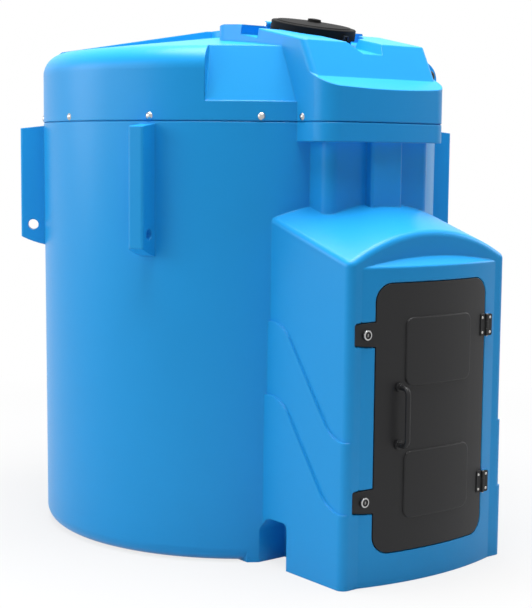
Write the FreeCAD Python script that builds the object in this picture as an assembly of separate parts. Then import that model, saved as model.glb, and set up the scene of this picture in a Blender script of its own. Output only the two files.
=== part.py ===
import FreeCAD, Part
import math
import os
from FreeCAD import Placement, Rotation, Vector

# Bunded storage tank for diesel exhaust fluid with a dispensing cabinet on its front.
# Millimetres. Origin on the barrel's axis at the ground, +Z up, the cabinet faces -Y.
# Azimuths are measured from the front, positive towards +X.

# Outer barrel, moulded in one piece with the cabinet, the columns and the lugs
tank_radius = 770
barrel_front = -tank_radius
base_draft = 6
base_edge = 50
seam_z = 1554
bund_wall = 9
seam_groove = 4

# Moulded cover: dome, ribs and head box
cover_wall = 8
lap_height = 36
lap_gap = 0.5
dome_shoulder_z = seam_z + 178
dome_shoulder_radius = 83
dome_crown_z = seam_z + 350
rib_width = 58
rib_outer_z = seam_z + 270
rib_outer_r = tank_radius - 72
rib_rise_deg = 9.2
hub_radius = 120
relief_low_z = seam_z + 67
relief_high_z = seam_z + 252
relief_high_r = tank_radius - 77
relief_corner = 8
relief_ledge = 6
relief_half_deg = 46

# Head box in front of the dome, with the sloped deck that carries the lid
head_half_width = 291
shelf_z = seam_z - 69
head_front_y = barrel_front - 105
head_bow = 14
head_corner = 75
ledge_front_z = seam_z + 118
ledge_back_y = barrel_front - 34
ledge_back_z = seam_z + 153
deck_front_y = barrel_front + 30
deck_front_z = seam_z + 279
deck_tilt_deg = 11.7
deck_break_y = barrel_front + 370
deck_back_y = barrel_front + 565
deck_back_z = seam_z + 357
deck_back_corner = 80
deck_edge = 12
deck_crest = 6

# Lid, its well in the deck and its neck; heights here are above the sloped deck
lid_y = barrel_front + 326
lid_radius = 157
lid_rim_low = -14
lid_rim_high = 24
lid_wall = 6
lid_crown = 33
well_radius = 190
well_depth = 35
neck_radius = 146
neck_wall = 8
neck_top = 11
seal_height = 5
drain_width = 100
hinge_back = 170
hinge_rise = -4
hinge_half_length = 92
hinge_barrel_radius = 11
hinge_pin_radius = 5
running_gap = 0.06

# Columns between the cabinet roof and the head box
column_half_width = 244
column_front_y = barrel_front - 60
column_corner = 40
pilaster_half_width = 72
pilaster_corner = 10
pilaster_front_y = barrel_front - 92

# Dispensing cabinet
cabinet_half_width = 368
cabinet_front_y = barrel_front - 320
cabinet_back_y = barrel_front + 210
step = 8
cabinet_corner = 28
vault_radius = 717
vault_crown_z = 1187
vault_rise_deg = 18
vault_edge = 24
wave_back_y = barrel_front + 80
wave_front_y = barrel_front - 305
wave_slope_deg = 54
wave_heights = ((863, 497), (605, 256))
front_frame_y = barrel_front - 276
bay_floor_z = 108
skirt_wall = 9
skirt_front_wall = 12

# Bowed front panel and the door in it
panel_half_width = 285
panel_top_z = 1074
panel_bow = 36
panel_proud = 8
panel_brow_run = 1.5
panel_brow_edge = 9
frame_depth = 26
rebate_depth = 14
door_left_x = -262
door_right_x = 247
door_low_z = 112
door_high_z = 1020
door_corner = 60
door_thickness = 10
door_gap = 4
door_lip = 16
lock_zs = (293, 853)
tab_left_x = -340
tab_root_height = 85
tab_end_height = 70
tab_corner = 6
lock_x = -297
lock_radius = 11
lock_plug_radius = 8
lock_bezel_radius = 17
lock_nut_corner = 15.5
lock_seat_depth = 22
emboss_left_x = -148
emboss_right_x = 157
emboss_zs = ((222, 452), (674, 905))
emboss_corner = 30
emboss_height = 7
emboss_edge = 5
door_hinge_x = 249
door_hinge_height = 76
door_hinge_pin_radius = 2.5
door_hinge_barrel_radius = 5
handle_x = -171
handle_zs = (477, 672)
handle_reach = 54
handle_radius = 9

# Fork pockets under the back of the cabinet sides
pocket_back_y = barrel_front + 115
pocket_front_y = barrel_front - 26
pocket_depth = 108
pocket_height = 166
pocket_cove = 55
pocket_round = 23
pocket_skin = 8
plinth_length = 150

# Lifting lugs and the bolts that hold the cover down
lug_azimuths = (-120.75, -61.5, 61.5, 120.75, 180)
lug_radius = tank_radius + 89
lug_thickness = 58
lug_top_z = seam_z - 12
lug_top_drop = 11
lug_bottom_z = seam_z - 468
lug_bottom_rise = 27
lug_edge = 9
lug_hole_radius = 20
lug_hole_r = tank_radius + 43
lug_hole_z = seam_z - 395
bolt_azimuths = (-150.3, -120.6, -90.8, -61.1, -31.4, 31.4, 61.1, 90.8, 120.6, 150.3, 180)
bolt_z = seam_z + 15
bolt_head_radius = 13
bolt_head_height = 6
bolt_radius = 4
bolt_hole_gap = 0.3
bolt_length = 34
bolt_side_y = barrel_front + 30

# Inner tank that holds the fluid
inner_clearance = 60
inner_radius = tank_radius - base_draft - bund_wall - inner_clearance
inner_wall = 8
inner_base_edge = 60
inner_shoulder_z = seam_z + 6
inner_shoulder_radius = 80
inner_crown_z = seam_z + 146
inner_neck_radius = 150
inner_neck_z = seam_z + 246
inner_neck_lip = 14
inner_boss_z = seam_z + 118

# Equipment in the cabinet bay
plate_back_y = barrel_front - 31
plate_thickness = 5
plate_half_width = 250
plate_low_z = 250
plate_high_z = 930
plate_screw_x = 215
plate_screw_zs = (275, 905)
pipe_radius = 12.5
pipe_bore = 10
suction_x = -120
suction_y = -880
riser_radius = 25
riser_bore = 22
riser_x = 195
riser_top_x = 30
gap = 0.3


def plan(x, y):
    return Vector(x, y, 0)


def side(y, z):
    return Vector(0, y, z)


def front(x, z):
    return Vector(x, 0, z)


def outline(place, start, *steps):
    # A step is the next corner, or a pair: a point on an arc and the arc's end
    edges = []
    here = start
    for move in steps + (start,):
        if isinstance(move[0], tuple):
            via, end = move
            edges.append(Part.Arc(place(*here), place(*via), place(*end)).toShape())
        elif move != here:
            end = move
            edges.append(Part.LineSegment(place(*here), place(*end)).toShape())
        here = end
    return Part.Face(Part.Wire(edges))


def arc_point(centre, radius, degrees):
    turn = math.radians(degrees)
    return (centre[0] + radius * math.cos(turn), centre[1] + radius * math.sin(turn))


def crown_step(edge_r, edge_z, top_z):
    # Arc of a shallow dome from its edge up to the axis, centred on that axis
    rise = top_z - edge_z
    sphere = (edge_r ** 2 + rise ** 2) / (2 * rise)
    middle = edge_r / 2
    return ((middle, top_z - sphere + math.sqrt(sphere ** 2 - middle ** 2)), (0, top_z))


def box(x0, x1, y0, y1, z0, z1):
    return Part.makeBox(x1 - x0, y1 - y0, z1 - z0, Vector(x0, y0, z0))


def rod(start, direction, radius, length):
    return Part.makeCylinder(radius, length, Vector(*start), Vector(*direction))


def ring(start, direction, outer, inner, length):
    return rod(start, direction, outer, length).cut(rod(start, direction, inner, length))


def turned(*profile):
    # Revolves an outline of (radius, height) points about the Z axis
    return outline(front, *profile).revolve(Vector(0, 0, 0), Vector(0, 0, 1), 360)


def around(shape, azimuth):
    # Turns a shape made at azimuth 0 to another azimuth
    moved = shape.copy()
    moved.rotate(Vector(0, 0, 0), Vector(0, 0, 1), azimuth)
    return moved


def mirrored(shape):
    return shape.mirror(Vector(0, 0, 0), Vector(1, 0, 0))


def pair(shape):
    return [shape, mirrored(shape)]


def union(shapes):
    return shapes[0].multiFuse(list(shapes[1:])).removeSplitter()


def round_edges(shape, radius, chosen):
    return shape.makeFillet(radius, [edge for edge in shape.Edges if chosen(edge)])


def is_vertical(edge):
    direction = edge.valueAt(edge.LastParameter) - edge.valueAt(edge.FirstParameter)
    return math.hypot(direction.x, direction.y) < 1e-6 * abs(direction.z)


def rounded_box(x0, x1, y0, y1, z0, z1, radius):
    return round_edges(box(x0, x1, y0, y1, z0, z1), radius, is_vertical)


def pipe(points, bends, radius):
    # A tube's solid rod: straight runs joined by tangent arcs
    edges = []
    here = Vector(*points[0])
    for corner, after, bend in zip(points[1:-1], points[2:], bends):
        corner = Vector(*corner)
        inward = (corner - here).normalize()
        outward = (Vector(*after) - corner).normalize()
        half_turn = inward.getAngle(outward) / 2
        setback = bend * math.tan(half_turn)
        start = corner - inward * setback
        end = corner + outward * setback
        bisector = (outward - inward).normalize()
        middle = corner + bisector * (bend / math.cos(half_turn) - bend)
        edges.append(Part.LineSegment(here, start).toShape())
        edges.append(Part.Arc(start, middle, end).toShape())
        here = end
    edges.append(Part.LineSegment(here, Vector(*points[-1])).toShape())
    path = Part.Wire(edges)
    first = Vector(*points[1]) - Vector(*points[0])
    section = Part.Wire([Part.makeCircle(radius, Vector(*points[0]), first)])
    return path.makePipeShell([section], True, False)


def tube(points, bends, outer, inner):
    return pipe(points, bends, outer).cut(pipe(points, bends, inner))


def save(node, *solids):
    shape = solids[0] if len(solids) == 1 else Part.makeCompound(list(solids))
    shape.exportStep(f"parts/{node}.step")
    volumes = [solid.Volume for solid in shape.Solids]
    print(f"{node}: {len(volumes)} solids, {sum(volumes) / 1e6:.3f} litres, valid {shape.isValid()}")


# Barrel

def barrel_form(inset, top_z):
    low_radius = tank_radius - base_draft - inset
    edge_centre = (tank_radius - base_draft - base_edge, base_edge)
    edge = base_edge - inset
    return turned(
        (0, inset),
        (edge_centre[0], inset),
        (arc_point(edge_centre, edge, -45), (low_radius, base_edge)),
        (tank_radius - inset, seam_z),
        (tank_radius - inset, top_z),
        (0, top_z),
    )


# Cabinet with its stepped sides and vaulted roof

def vault_form(inset):
    half = 500
    crown = vault_crown_z - inset
    radius = vault_radius - inset
    spring = crown - radius + math.sqrt(radius ** 2 - half ** 2)
    start_y = cabinet_front_y - 100
    crown_shift = -100 * math.tan(math.radians(vault_rise_deg))
    face = outline(
        front,
        (-half, -400),
        (-half, spring + crown_shift),
        ((0, crown + crown_shift), (half, spring + crown_shift)),
        (half, -400),
    )
    face.translate(Vector(0, start_y, 0))
    length = cabinet_back_y - start_y
    return face.extrude(Vector(0, length, length * math.tan(math.radians(vault_rise_deg))))


def plan_block(half_width, front_y, back_y, low_z, high_z, corner):
    block = box(-half_width, half_width, front_y, back_y, low_z, high_z)
    return round_edges(
        block, corner, lambda edge: is_vertical(edge) and edge.CenterOfMass.y < front_y + 1
    )


def below_wave(back_z, front_z):
    # Side region under one S-shaped step line, right across the cabinet
    slope = math.radians(wave_slope_deg)
    run = wave_back_y - wave_front_y
    drop = back_z - front_z
    radius = (run - drop / math.tan(slope)) / (2 * math.tan(slope / 2))
    high = (wave_back_y, back_z - radius)
    low = (wave_front_y, front_z + radius)
    far_y = cabinet_front_y - 100
    face = outline(
        side,
        (cabinet_back_y, -1),
        (cabinet_back_y, back_z),
        (wave_back_y, back_z),
        (arc_point(high, radius, 90 + wave_slope_deg / 2),
         arc_point(high, radius, 90 + wave_slope_deg)),
        arc_point(low, radius, wave_slope_deg - 90),
        (arc_point(low, radius, wave_slope_deg / 2 - 90), (wave_front_y, front_z)),
        (far_y, front_z),
        (far_y, -1),
    )
    face.translate(Vector(-500, 0, 0))
    return face.extrude(Vector(1000, 0, 0))


def cabinet_form():
    top = plan_block(
        cabinet_half_width, cabinet_front_y, cabinet_back_y, 0, 1500, cabinet_corner
    ).common(vault_form(0))
    rim = [
        edge for edge in top.Edges
        if edge.BoundBox.ZMin > 900 and edge.BoundBox.YMax < cabinet_back_y + 1
        and edge.CenterOfMass.y < cabinet_back_y - 1
        and edge.BoundBox.ZMax - edge.BoundBox.ZMin < 400
    ]
    top = top.makeFillet(vault_edge, rim)
    layers = [top]
    for number, (back_z, front_z) in enumerate(wave_heights, start=1):
        layer = plan_block(
            cabinet_half_width + number * step,
            cabinet_front_y,
            cabinet_back_y,
            0,
            back_z + 1,
            cabinet_corner,
        )
        layers.append(layer.common(below_wave(back_z, front_z)))
    return layers


panel_edge_y = cabinet_front_y - panel_proud
panel_radius = (panel_half_width ** 2 + panel_bow ** 2) / (2 * panel_bow)
panel_centre_y = panel_edge_y - panel_bow + panel_radius


def bow_y(x, inset=0):
    # Front face of the bowed panel, or a face set back from it
    return panel_centre_y - math.sqrt((panel_radius - inset) ** 2 - x ** 2)


def bow_sheet(outer_inset, inner_inset, low_z, high_z):
    # Sheet between two depths behind the bowed face
    height = high_z - low_z
    sheet = ring((0, panel_centre_y, low_z), (0, 0, 1), panel_radius - outer_inset,
                 panel_radius - inner_inset, height)
    return sheet.common(box(-500, 500, -1300, -900, low_z, high_z))


def bow_panel():
    # The bow runs out into the cabinet's front at both sides, and its top leans back as a brow
    reach_x = math.sqrt(panel_radius ** 2 - (cabinet_front_y - panel_centre_y) ** 2)
    face = outline(
        plan,
        (-reach_x, front_frame_y),
        (-reach_x, cabinet_front_y),
        ((0, bow_y(0)), (reach_x, cabinet_front_y)),
        (reach_x, front_frame_y),
    )
    brow_height = (panel_proud + panel_bow) / panel_brow_run + 1
    brow = face.copy()
    brow.translate(Vector(0, 0, panel_top_z))
    brow = brow.extrude(Vector(0, brow_height * panel_brow_run, brow_height))
    solid = union([face.extrude(Vector(0, 0, panel_top_z)), brow])
    return round_edges(
        solid, panel_brow_edge, lambda edge: edge.BoundBox.ZLength < 1
        and abs(edge.CenterOfMass.z - panel_top_z) < 1 and edge.CenterOfMass.y < cabinet_front_y
    )


def door_outline(grow, with_tabs=True):
    # Front outline of the door, grown by a gap or shrunk to a lip, run through in depth
    body = rounded_box_y(door_left_x - grow, door_right_x + grow, door_low_z - grow,
                         door_high_z + grow, door_corner + grow)
    shapes = [body]
    if with_tabs:
        for z in lock_zs:
            root = tab_root_height / 2 + grow
            end = tab_end_height / 2 + grow
            face = outline(
                front,
                (door_left_x + 20, z - root),
                (tab_left_x - grow, z - end),
                (tab_left_x - grow, z + end),
                (door_left_x + 20, z + root),
            )
            face.translate(Vector(0, -1300, 0))
            tab = face.extrude(Vector(0, 400, 0))
            shapes.append(round_edges(
                tab, tab_corner + grow, lambda edge: abs(edge.CenterOfMass.x - tab_left_x) < 10 + grow
                and edge.BoundBox.YLength > 300
            ))
    return union(shapes)


def rounded_box_y(x0, x1, z0, z1, radius):
    # Rounded rectangle in the front plane, run through the panel's depth
    block = box(x0, x1, -1300, -900, z0, z1)
    return round_edges(block, radius, lambda edge: edge.BoundBox.YLength > 300)


# Fork pockets

def pocket_form(skin):
    top = pocket_height + skin
    back = pocket_back_y + skin
    ahead = pocket_front_y - skin
    cove = pocket_cove
    small = pocket_round
    face = outline(
        side,
        (ahead, -1),
        (ahead, top - small),
        (arc_point((ahead + small, top - small), small, 135), (ahead + small, top)),
        (back - cove, top),
        (arc_point((back - cove, top - cove), cove, 45), (back, top - cove)),
        (back, -1),
    )
    inner_x = cabinet_half_width + 2 * step - pocket_depth - skin
    face.translate(Vector(inner_x, 0, 0))
    return face.extrude(Vector(pocket_depth + skin + 60, 0, 0))


def plinth():
    outer_x = cabinet_half_width + 2 * step + 45
    block = box(outer_x - plinth_length, outer_x, pocket_back_y, pocket_back_y + 95,
                0, base_edge + 10)
    return block.common(Part.makeCylinder(tank_radius - base_draft, base_edge + 20))


# Lifting lugs

def lug(azimuth):
    root_r = tank_radius - bund_wall / 2
    outer_low_z = lug_bottom_z + lug_bottom_rise
    face = outline(
        side,
        (-root_r, lug_top_z),
        (-lug_radius, lug_top_z - lug_top_drop),
        (-lug_radius, outer_low_z),
        ((-(lug_radius + root_r) / 2, lug_bottom_z + 7), (-root_r, lug_bottom_z - 6)),
    )
    face.translate(Vector(-lug_thickness / 2, 0, 0))
    solid = face.extrude(Vector(lug_thickness, 0, 0))
    solid = round_edges(
        solid, lug_edge, lambda edge: is_vertical(edge) and edge.CenterOfMass.y < -lug_radius + 1
    )
    return around(solid, azimuth)


def lug_hole(azimuth):
    hole = rod((-lug_thickness, -lug_hole_r, lug_hole_z), (1, 0, 0), lug_hole_radius,
               2 * lug_thickness)
    return around(hole, azimuth)


# Head box

def head_plan(inset, low_z, high_z, front_y):
    # Plan block with a bowed front and rounded front corners
    half = head_half_width - inset
    ahead = front_y + inset
    corner = head_corner - inset
    face = outline(
        plan,
        (-half, -300),
        (-half, ahead + corner),
        (arc_point((-half + corner, ahead + corner), corner, 225), (-half + corner, ahead)),
        ((0, ahead - head_bow), (half - corner, ahead)),
        (arc_point((half - corner, ahead + corner), corner, 315), (half, ahead + corner)),
        (half, -300),
    )
    face.translate(Vector(0, 0, low_z))
    return face.extrude(Vector(0, 0, high_z - low_z))


def side_block(inset, points, back_y):
    # Extrudes a side outline given from its front foot over the top to its back
    half = head_half_width - inset
    face = outline(side, *(points + [(back_y, shelf_z)]))
    face.translate(Vector(-half, 0, 0))
    return face.extrude(Vector(2 * half, 0, 0))


def deck_z(y):
    return deck_front_z + (y - deck_front_y) * math.tan(math.radians(deck_tilt_deg))


def is_deck_edge(edge):
    # Edges round the sloped deck, from its front corners back to the break
    ends = [edge.valueAt(edge.FirstParameter), edge.valueAt(edge.LastParameter)]
    return all(end.y < deck_break_y + 1 and abs(end.z - deck_z(end.y)) < 0.1 for end in ends) \
        and not (abs(edge.CenterOfMass.y - deck_break_y) < 1)


def head_form(inset):
    ledge_slope = (ledge_back_z - ledge_front_z) / (ledge_back_y - head_front_y)
    low = head_plan(inset, seam_z, dome_crown_z, head_front_y)
    reach = 400
    slope_face = outline(
        side,
        (head_front_y - 50, seam_z),
        (head_front_y - 50, ledge_front_z - 50 * ledge_slope - inset),
        (head_front_y + reach, ledge_front_z + reach * ledge_slope - inset),
        (head_front_y + reach, seam_z),
    )
    slope_face.translate(Vector(-400, 0, 0))
    ledge = low.common(slope_face.extrude(Vector(800, 0, 0)))
    block = side_block(inset, [
        (ledge_back_y + inset, seam_z),
        (ledge_back_y + inset, ledge_back_z - 2 * inset),
        (deck_front_y + inset, deck_front_z - inset),
        (deck_break_y, deck_z(deck_break_y) - inset),
        (deck_back_y - deck_back_corner, deck_back_z - inset),
        (deck_back_y - inset, deck_back_z - inset - 6),
    ], deck_back_y - inset)
    block = block.cut(box(-400, 400, -1000, 0, 0, seam_z))
    back = [edge for edge in block.Edges if is_vertical(edge)
            and abs(edge.CenterOfMass.y - deck_back_y + inset) < 1]
    block = block.makeFillet(deck_back_corner - inset, back)
    leaning = [
        edge for edge in block.Edges
        if abs(edge.CenterOfMass.x) > head_half_width - inset - 1
        and edge.CenterOfMass.y < deck_front_y + inset + 1
        and edge.BoundBox.ZMin > ledge_back_z - 2 * inset - 1
        and edge.BoundBox.ZLength > 60
    ]
    block = block.makeFillet(2 * deck_edge - 1.75 * inset, leaning)
    if deck_crest > inset:
        block = round_edges(block, deck_crest - inset, is_deck_edge)
    return ledge, block


# Cover

def dome_form(inset, low_z):
    slope = math.atan2(dome_crown_z - dome_shoulder_z - dome_shoulder_radius,
                       tank_radius - dome_shoulder_radius)
    centre = (tank_radius - dome_shoulder_radius, dome_shoulder_z)
    radius = dome_shoulder_radius - inset
    end = arc_point(centre, radius, 90 - math.degrees(slope))
    return turned(
        (0, low_z),
        (tank_radius - inset, low_z),
        (tank_radius - inset, dome_shoulder_z),
        (arc_point(centre, radius, 45), end),
        (0, end[1] + end[0] * math.tan(slope)),
    )


def relief_form(inset):
    # Conical relief cut in the shoulder on both sides of the head box, above a small ledge
    far = tank_radius + 100
    low_r = tank_radius - relief_ledge - inset
    lean = (tank_radius - relief_ledge - relief_high_r) / (relief_high_z - relief_low_z)
    rise = 60
    profile = outline(
        front,
        (low_r + inset * lean, relief_low_z - inset),
        (low_r - (relief_high_z + rise - relief_low_z) * lean, relief_high_z + rise),
        (far, relief_high_z + rise),
        (far, relief_low_z - inset),
    )
    half_deg = relief_half_deg + math.degrees(inset / relief_high_r)
    sweep = profile.revolve(Vector(0, 0, 0), Vector(0, 0, 1), 2 * half_deg)
    sweep = round_edges(
        sweep, relief_corner + inset, lambda edge: edge.BoundBox.ZLength > rise
        and math.hypot(edge.CenterOfMass.x, edge.CenterOfMass.y) < tank_radius
    )
    return around(sweep, -90 - half_deg)


def rib(azimuth, inset):
    rise = math.tan(math.radians(rib_rise_deg))
    top = rib_outer_z - inset
    half = rib_width / 2 - inset
    face = outline(
        side,
        (-rib_outer_r - 44 + inset, dome_shoulder_z + 20),
        (-rib_outer_r - 44 + inset, top - 32),
        (-rib_outer_r, top),
        (0, top + rib_outer_r * rise),
        (0, dome_shoulder_z + 20),
    )
    face.translate(Vector(-half, 0, 0))
    return around(face.extrude(Vector(2 * half, 0, 0)), azimuth)


def deck_frame():
    # Frame of the sloped deck at the lid's centre
    return Placement(Vector(0, lid_y, deck_z(lid_y)), Rotation(Vector(1, 0, 0), deck_tilt_deg))


def on_deck(shape):
    moved = shape.copy()
    moved.Placement = deck_frame().multiply(moved.Placement)
    return moved


def well_form(skin):
    depth = well_depth + skin
    well = rod((0, 0, -depth), (0, 0, 1), well_radius + skin, 150)
    half = drain_width / 2 + skin
    drain = box(-head_half_width - 50, head_half_width + 50, -half, half, -depth, 150)
    floor_left, floor_right = -31 - skin, 58 + skin
    channel = outline(
        front,
        (floor_left, -depth),
        (floor_right, -depth),
        (floor_right + 16, 5),
        (floor_right + 16, 150),
        (floor_left - 73, 150),
        (floor_left - 73, 5),
    )
    channel.translate(Vector(0, -420, 0))
    return [well, drain, channel.extrude(Vector(0, 400, 0))]


# The bund: barrel, cabinet, columns, shelf and lugs in one moulding

def column_forms(inset, low_z, high_z):
    wide = plan_block(column_half_width - inset, column_front_y + inset, -600, low_z, high_z,
                      column_corner - inset)
    pilaster = plan_block(pilaster_half_width - inset, pilaster_front_y + inset, -600, low_z,
                          high_z, pilaster_corner)
    return [wide, pilaster]


def plate_bosses():
    bosses = []
    for x in (-plate_screw_x, plate_screw_x):
        for z in plate_screw_zs:
            depth = -plate_back_y - math.sqrt(tank_radius ** 2 - x ** 2) + 20
            bosses.append(rod((x, plate_back_y, z), (0, 1, 0), 20, depth))
    return bosses


def bay_form():
    deep = plan_block(cabinet_half_width - step, front_frame_y, cabinet_back_y, bay_floor_z,
                      1500, cabinet_corner - step)
    bow = bow_sheet(frame_depth, 200, bay_floor_z, panel_top_z - frame_depth)
    bow = bow.common(box(-panel_half_width + 15, panel_half_width - 15, -1300, -900, 0, 1500))
    bay = deep.common(vault_form(cover_wall)).fuse(bow)
    for z in lock_zs:
        bay = bay.fuse(box(-350, door_left_x - 3, front_frame_y - 16, front_frame_y + 10,
                           z - 62, z + 62))
    bay = bay.multiFuse(column_forms(cover_wall, 1150, seam_z + 1))
    keep = [Part.makeCylinder(tank_radius, seam_z + 100)] + pair(pocket_form(pocket_skin))
    return bay.cut(keep)


def build_bund():
    shelf = head_plan(0, shelf_z, seam_z, head_front_y)
    forms = [barrel_form(0, seam_z), bow_panel(), shelf]
    forms += cabinet_form()
    forms += column_forms(0, 1150, shelf_z + 1)
    forms += [lug(azimuth) for azimuth in lug_azimuths]
    forms += pair(plinth())
    outer = forms[0].multiFuse(forms[1:])
    lap_low_z = seam_z - 20
    outside = Part.makeCylinder(tank_radius - cover_wall - lap_gap, lap_height + 20,
                                Vector(0, 0, lap_low_z))
    outside = outside.fuse(head_plan(cover_wall + lap_gap, lap_low_z, seam_z + lap_height,
                                     head_front_y))
    groove_low_z = seam_z - seam_groove
    groove = box(-lug_radius, lug_radius, -lug_radius - 100, lug_radius, groove_low_z, seam_z)
    groove = groove.cut([
        Part.makeCylinder(tank_radius - seam_groove, seam_z),
        head_plan(seam_groove, groove_low_z - 1, seam_z + 1, head_front_y),
    ])
    outer = outer.cut(groove).fuse(outside)
    barrel_hollow = barrel_form(bund_wall, seam_z).cut(pair(pocket_form(pocket_skin)))
    lap_inset = cover_wall + lap_gap + bund_wall
    lap_hollow = Part.makeCylinder(tank_radius - lap_inset, 200, Vector(0, 0, seam_z - 1))
    shelf_hollow = head_plan(lap_inset, shelf_z + bund_wall, seam_z + 150, head_front_y)
    skirt = box(-cabinet_half_width, cabinet_half_width, cabinet_front_y + skirt_front_wall,
                pocket_back_y, -1, bay_floor_z - skirt_wall)
    skirt = skirt.cut([Part.makeCylinder(tank_radius, 300)] + pair(pocket_form(pocket_skin)))
    body = outer.cut([barrel_hollow, lap_hollow, shelf_hollow, skirt])
    body = body.cut(bay_form()).multiFuse(plate_bosses())
    body = body.cut(barrel_hollow)
    body = body.cut(pair(pocket_form(0)))
    rebate = door_outline(door_gap).cut(
        Part.makeCylinder(panel_radius - rebate_depth, 1500, Vector(0, panel_centre_y, 0)))
    opening = door_outline(-door_lip, with_tabs=False)
    body = body.cut([rebate, opening])
    body = body.multiFuse(hinge_pads())
    holes = [lug_hole(azimuth) for azimuth in lug_azimuths]
    holes += bolt_holes() + lock_windows() + plate_screw_holes() + hinge_screw_holes()
    return body.cut(holes).removeSplitter()


# Holes for fasteners

def radial_rods(radius, from_r, length):
    rods = [around(rod((0, -from_r, bolt_z), (0, 1, 0), radius, length), azimuth)
            for azimuth in bolt_azimuths]
    depth = from_r - tank_radius
    rods.append(rod((head_half_width + depth, bolt_side_y, bolt_z), (-1, 0, 0), radius, length))
    rods.append(rod((-head_half_width - depth, bolt_side_y, bolt_z), (1, 0, 0), radius, length))
    return rods


def bolt_holes():
    return radial_rods(bolt_radius + bolt_hole_gap, tank_radius + 20, bolt_length + 40)


def lock_windows():
    # Slots in the rebate floor that let the lock cams through
    half = lock_bezel_radius + 4
    return [box(lock_x - half, lock_x + half, cabinet_front_y, front_frame_y + 6, z - half,
                z + 44) for z in lock_zs]


def plate_screws(radius, start_y, length):
    return [rod((x, start_y, z), (0, 1, 0), radius, length)
            for x in (-plate_screw_x, plate_screw_x) for z in plate_screw_zs]


def plate_screw_holes():
    return plate_screws(3 + bolt_hole_gap, plate_back_y - 30, 60)


# Door hinges

leaf_y = bow_y(door_hinge_x - 28)
leaf_thickness = 3
leaf_inner = 5
leaf_outer = 28
pin_y = leaf_y - leaf_thickness - 2


def hinge_pads():
    half = door_hinge_height / 2
    return [box(door_hinge_x + 3.5, door_hinge_x + leaf_outer + 2, leaf_y, panel_edge_y + 30,
                z - half - 2, z + half + 2) for z in lock_zs]


def door_pads():
    half = door_hinge_height / 2
    pads = [box(door_hinge_x - leaf_outer - 1, door_right_x, leaf_y, leaf_y + 14,
                z - half - 1, z + half + 1) for z in lock_zs]
    behind = Part.makeCylinder(panel_radius - door_thickness, 1500, Vector(0, panel_centre_y, 0))
    return [pad.cut(behind) for pad in pads]


def leaf_screw_spots():
    offset = (leaf_inner + leaf_outer) / 2 + 2
    return [(side_sign, door_hinge_x + side_sign * offset, z + dz)
            for side_sign in (-1, 1) for z in lock_zs for dz in (-26, 26)]


def hinge_screw_holes():
    return [rod((x, leaf_y - 5, z), (0, 1, 0), 2.2, 19) for sign, x, z in leaf_screw_spots()
            if sign > 0]


def hinge_leaf(z, sign):
    half = door_hinge_height / 2
    third = door_hinge_height / 6
    inner_x = door_hinge_x + sign * leaf_inner
    outer_x = door_hinge_x + sign * leaf_outer
    plate = box(min(inner_x, outer_x), max(inner_x, outer_x), leaf_y - leaf_thickness, leaf_y,
                z - half, z + half)
    plate = round_edges(plate, 6, lambda edge: edge.BoundBox.YLength > leaf_thickness - 0.1
                        and abs(edge.CenterOfMass.x - outer_x) < 1)
    spans = [(-third, third)] if sign < 0 else [(-half, -third), (third, half)]
    keep_off = [(-half, -third), (third, half)] if sign < 0 else [(-third, third)]
    bore = door_hinge_pin_radius + (running_gap if sign < 0 else 0)
    parts = [plate]
    for low, high in spans:
        inset = 0.25
        knuckle = rod((door_hinge_x, pin_y, z + low + inset), (0, 0, 1),
                      door_hinge_barrel_radius, high - low - 2 * inset)
        web = box(min(door_hinge_x, inner_x), max(door_hinge_x, inner_x),
                  leaf_y - leaf_thickness, leaf_y, z + low + inset, z + high - inset)
        parts += [knuckle, web]
    leaf = union(parts)
    leaf = leaf.cut(rod((door_hinge_x, pin_y, z - half - 1), (0, 0, 1), bore,
                        door_hinge_height + 2))
    clear = [rod((door_hinge_x, pin_y, z + low - inset), (0, 0, 1),
                 door_hinge_barrel_radius + 0.4, high - low + 2 * inset) for low, high in keep_off]
    leaf = leaf.cut(clear)
    screws = [rod((x, leaf_y - 10, sz), (0, 1, 0), 2.2, 20)
              for s, x, sz in leaf_screw_spots() if s == sign and abs(sz - z) < half]
    return leaf.cut(screws)


def domed_screw(start, direction, head_radius, head_height, shank_radius, length):
    # Screw lying along a direction, its head's flat side at the start point
    screw = turned((0, -length), (shank_radius, -length), (shank_radius, 0), (head_radius, 0),
                   crown_step(head_radius, 0, head_height))
    backwards = Vector(*direction) * -1
    screw.Placement = Placement(Vector(*start), Rotation(Vector(0, 0, 1), backwards))
    return screw


# Nodes that stand still

save("bund_body", build_bund())


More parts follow.
